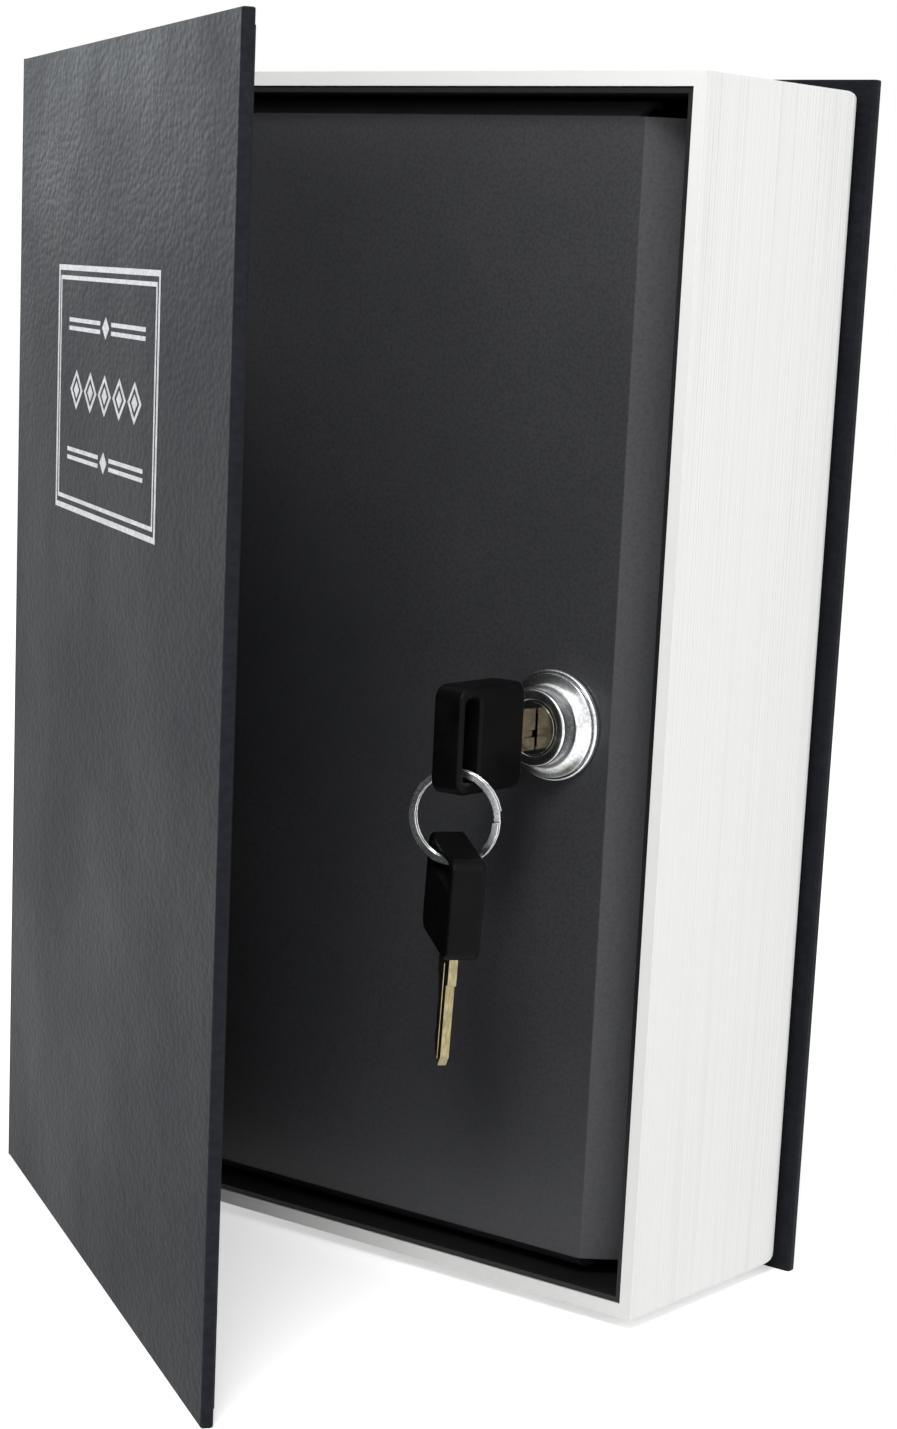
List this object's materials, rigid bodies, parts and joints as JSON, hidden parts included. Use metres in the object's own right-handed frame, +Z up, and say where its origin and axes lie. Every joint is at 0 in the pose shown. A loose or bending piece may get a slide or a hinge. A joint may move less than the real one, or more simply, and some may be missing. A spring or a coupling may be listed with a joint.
{
  "type": "book diversion safe",
  "caption": "Hardcover book safe: a cloth-jointed cover over a hollow page block with a steel tub, a locked steel door, a key and a spare on a ring.",
  "frame": {"origin": "middle of the footprint box of the whole object at rest, at the surface that it stands on", "axes": "+Z up along the spine, +X from the spine to the fore-edge, -Y out of the front cover"},
  "size_m": [0.2, 0.169, 0.265],
  "materials": {
    "leatherette": "black-blue grained leatherette over board, low sheen",
    "page_white": "moulded white page block with fine page lines",
    "lining_paper": "black lining sheet",
    "black_paint": "glossy black powder paint on sheet steel",
    "zinc_steel": "zinc plated steel",
    "chrome": "bright chrome",
    "black_plastic": "black moulded key head, satin",
    "key_brass": "nickel-brass key blank"
  },
  "bodies": {
    "book_case": {"back_cover_board": "leatherette", "spine_board": "leatherette", "back_joint_cloth": "leatherette", "page_block": "page_white", "steel_tub": "black_paint", "tub_rivet_1": "zinc_steel", "tub_rivet_2": "zinc_steel", "tub_rivet_3": "zinc_steel", "tub_rivet_4": "zinc_steel", "cam_keeper": "zinc_steel", "upper_pivot_pin": "zinc_steel", "lower_pivot_pin": "zinc_steel"},
    "joint_strip": {"front_joint_cloth": "leatherette"},
    "front_cover": {"front_cover_board": "leatherette", "front_cover_lining": "lining_paper"},
    "door": {"door_panel": "black_paint", "upper_hinge_barrel": "zinc_steel", "lower_hinge_barrel": "zinc_steel", "lock_bezel": "chrome", "lock_body": "chrome", "lock_washer": "zinc_steel", "lock_nut": "zinc_steel"},
    "plug": {"lock_plug": "chrome", "lock_cam": "zinc_steel", "cam_screw": "zinc_steel"},
    "key": {"key_head": "black_plastic", "key_blade": "key_brass"},
    "ring": {"split_ring": "chrome"},
    "spare_key": {"spare_key_head": "black_plastic", "spare_key_blade": "key_brass"}
  },
  "joints": [
    {"name": "door_hinge", "type": "hinge", "parent": "book_case", "child": "door", "pos_m": [-0.07886, 0.03067, 0], "axis": [0, 0, -1], "range_deg": [0, 92]},
    {"name": "spine_crease", "type": "hinge", "parent": "book_case", "child": "joint_strip", "pos_m": [-0.08951, 0.02053, 0], "axis": [0, 0, -1], "range_deg": [0, 92]},
    {"name": "cover_hinge", "type": "hinge", "parent": "joint_strip", "child": "front_cover", "pos_m": [-0.09071, 0.01868, 0], "axis": [0, 0, 1], "range_deg": [-147.12, 15.5], "deforming": ["front_joint_cloth"]},
    {"name": "plug_turn", "type": "hinge", "parent": "door", "child": "plug", "pos_m": [0.065, 0.02647, 0.1278], "axis": [0, -1, 0], "range_deg": [0, 90]},
    {"name": "key_slide", "type": "slide", "parent": "plug", "child": "key", "axis": [0, 1, 0], "range_m": [-0.0275, 0]},
    {"name": "ring_swing", "type": "hinge", "parent": "key", "child": "ring", "pos_m": [0.065, -0.00713, 0.12095], "axis": [0.9659, 0.2588, 0], "range_deg": [-18, 6]},
    {"name": "spare_key_swing", "type": "hinge", "parent": "ring", "child": "spare_key", "pos_m": [0.065, -0.00713, 0.10205], "axis": [0.9659, 0.2588, 0], "range_deg": [-20, 6]}
  ],
  "couplings": [
    {"joint": "spine_crease", "follows": "door_hinge", "ratio": 1}
  ]
}
